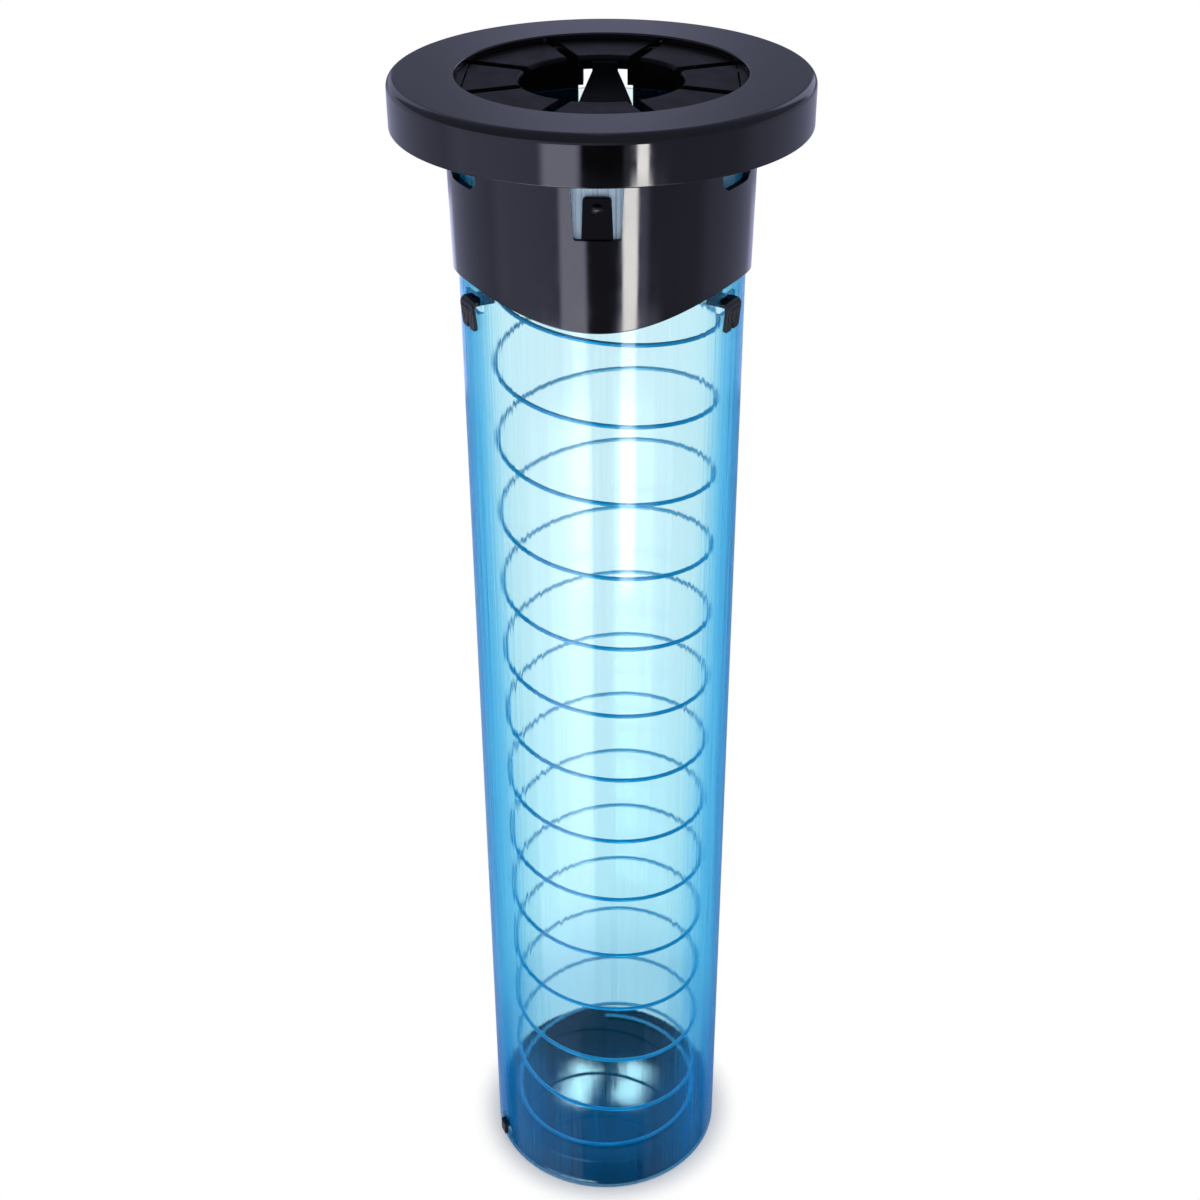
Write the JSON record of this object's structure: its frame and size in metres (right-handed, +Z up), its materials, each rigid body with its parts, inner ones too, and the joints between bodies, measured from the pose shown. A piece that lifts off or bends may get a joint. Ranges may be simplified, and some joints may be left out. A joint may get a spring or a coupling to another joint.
{
  "type": "cup dispenser",
  "caption": "Drop-in cup dispenser: black head with sprung fingers, long clear blue tube, and a lift spring that pushes the stack of cups up.",
  "frame": {"origin": "on the floor plane, at the centre of the tube's lower end", "axes": "+Z up along the tube's axis, -Y to the front, where the first counter tab and the first finger are"},
  "size_m": [0.197, 0.197, 0.672],
  "materials": {
    "head": "gloss",
    "fingers": "satin",
    "tube": "clear, gloss",
    "spring": "drawn wire"
  },
  "bodies": {
    "housing": {"trim_ring": "head", "finger_gasket_rim": "fingers", "carrier_ring": "head", "mounting_collar": "head", "dispenser_tube": "tube", "base_plug": "head", "base_clip_1": "head", "base_clip_2": "head", "lift_spring": "spring"},
    "pusher": {"pusher_plate": "head"},
    "finger_1": {"finger_1": "fingers"},
    "finger_2": {"finger_2": "fingers"},
    "finger_3": {"finger_3": "fingers"},
    "finger_4": {"finger_4": "fingers"},
    "finger_5": {"finger_5": "fingers"},
    "finger_6": {"finger_6": "fingers"},
    "finger_7": {"finger_7": "fingers"},
    "finger_8": {"finger_8": "fingers"},
    "tab_1": {"counter_tab_1": "head"},
    "tab_2": {"counter_tab_2": "head"},
    "tab_3": {"counter_tab_3": "head"},
    "arm_1": {"guide_arm_1": "head"},
    "arm_2": {"guide_arm_2": "head"},
    "arm_3": {"guide_arm_3": "head"}
  },
  "joints": [
    {"name": "pusher_slide", "type": "slide", "parent": "housing", "child": "pusher", "axis": [0, 0, -1], "range_m": [0, 0.53], "stiffness_N_per_m": 15, "springref_m": -0.2, "deforming": ["lift_spring"]},
    {"name": "finger_1_bend", "type": "hinge", "parent": "housing", "child": "finger_1", "pos_m": [0, -0.0626, 0.6678], "axis": [1, 0, 0], "range_deg": [-35, 50], "stiffness_Nm_per_rad": 0.02},
    {"name": "finger_2_bend", "type": "hinge", "parent": "housing", "child": "finger_2", "pos_m": [0.04426, -0.04426, 0.6678], "axis": [0.7071, 0.7071, 0], "range_deg": [-35, 50], "stiffness_Nm_per_rad": 0.02},
    {"name": "finger_3_bend", "type": "hinge", "parent": "housing", "child": "finger_3", "pos_m": [0.0626, 0, 0.6678], "axis": [0, 1, 0], "range_deg": [-35, 50], "stiffness_Nm_per_rad": 0.02},
    {"name": "finger_4_bend", "type": "hinge", "parent": "housing", "child": "finger_4", "pos_m": [0.04426, 0.04426, 0.6678], "axis": [-0.7071, 0.7071, 0], "range_deg": [-35, 50], "stiffness_Nm_per_rad": 0.02},
    {"name": "finger_5_bend", "type": "hinge", "parent": "housing", "child": "finger_5", "pos_m": [0, 0.0626, 0.6678], "axis": [-1, 0, 0], "range_deg": [-35, 50], "stiffness_Nm_per_rad": 0.02},
    {"name": "finger_6_bend", "type": "hinge", "parent": "housing", "child": "finger_6", "pos_m": [-0.04426, 0.04426, 0.6678], "axis": [-0.7071, -0.7071, 0], "range_deg": [-35, 50], "stiffness_Nm_per_rad": 0.02},
    {"name": "finger_7_bend", "type": "hinge", "parent": "housing", "child": "finger_7", "pos_m": [-0.0626, 0, 0.6678], "axis": [0, -1, 0], "range_deg": [-35, 50], "stiffness_Nm_per_rad": 0.02},
    {"name": "finger_8_bend", "type": "hinge", "parent": "housing", "child": "finger_8", "pos_m": [-0.04426, -0.04426, 0.6678], "axis": [0.7071, -0.7071, 0], "range_deg": [-35, 50], "stiffness_Nm_per_rad": 0.02},
    {"name": "tab_1_flex", "type": "hinge", "parent": "housing", "child": "tab_1", "pos_m": [0, -0.07136, 0.6183], "axis": [-1, 0, 0], "range_deg": [0, 3], "stiffness_Nm_per_rad": 0.2},
    {"name": "tab_2_flex", "type": "hinge", "parent": "housing", "child": "tab_2", "pos_m": [0.0618, 0.03568, 0.6183], "axis": [0.5, -0.866, 0], "range_deg": [0, 3], "stiffness_Nm_per_rad": 0.2},
    {"name": "tab_3_flex", "type": "hinge", "parent": "housing", "child": "tab_3", "pos_m": [-0.0618, 0.03568, 0.6183], "axis": [0.5, 0.866, 0], "range_deg": [0, 3], "stiffness_Nm_per_rad": 0.2},
    {"name": "arm_1_flex", "type": "hinge", "parent": "housing", "child": "arm_1", "pos_m": [-0.05759, -0.03325, 0.661], "axis": [-0.5, 0.866, 0], "range_deg": [0, 2.5], "stiffness_Nm_per_rad": 0.3},
    {"name": "arm_2_flex", "type": "hinge", "parent": "housing", "child": "arm_2", "pos_m": [0.05759, -0.03325, 0.661], "axis": [-0.5, -0.866, 0], "range_deg": [0, 2.5], "stiffness_Nm_per_rad": 0.3},
    {"name": "arm_3_flex", "type": "hinge", "parent": "housing", "child": "arm_3", "pos_m": [0, 0.0665, 0.661], "axis": [1, 0, 0], "range_deg": [0, 2.5], "stiffness_Nm_per_rad": 0.3}
  ],
  "couplings": [
    {"joint": "finger_2_bend", "follows": "finger_1_bend", "ratio": 1},
    {"joint": "finger_3_bend", "follows": "finger_1_bend", "ratio": 1},
    {"joint": "finger_4_bend", "follows": "finger_1_bend", "ratio": 1},
    {"joint": "finger_5_bend", "follows": "finger_1_bend", "ratio": 1},
    {"joint": "finger_6_bend", "follows": "finger_1_bend", "ratio": 1},
    {"joint": "finger_7_bend", "follows": "finger_1_bend", "ratio": 1},
    {"joint": "finger_8_bend", "follows": "finger_1_bend", "ratio": 1},
    {"joint": "tab_2_flex", "follows": "tab_1_flex", "ratio": 1},
    {"joint": "tab_3_flex", "follows": "tab_1_flex", "ratio": 1},
    {"joint": "arm_2_flex", "follows": "arm_1_flex", "ratio": 1},
    {"joint": "arm_3_flex", "follows": "arm_1_flex", "ratio": 1}
  ]
}
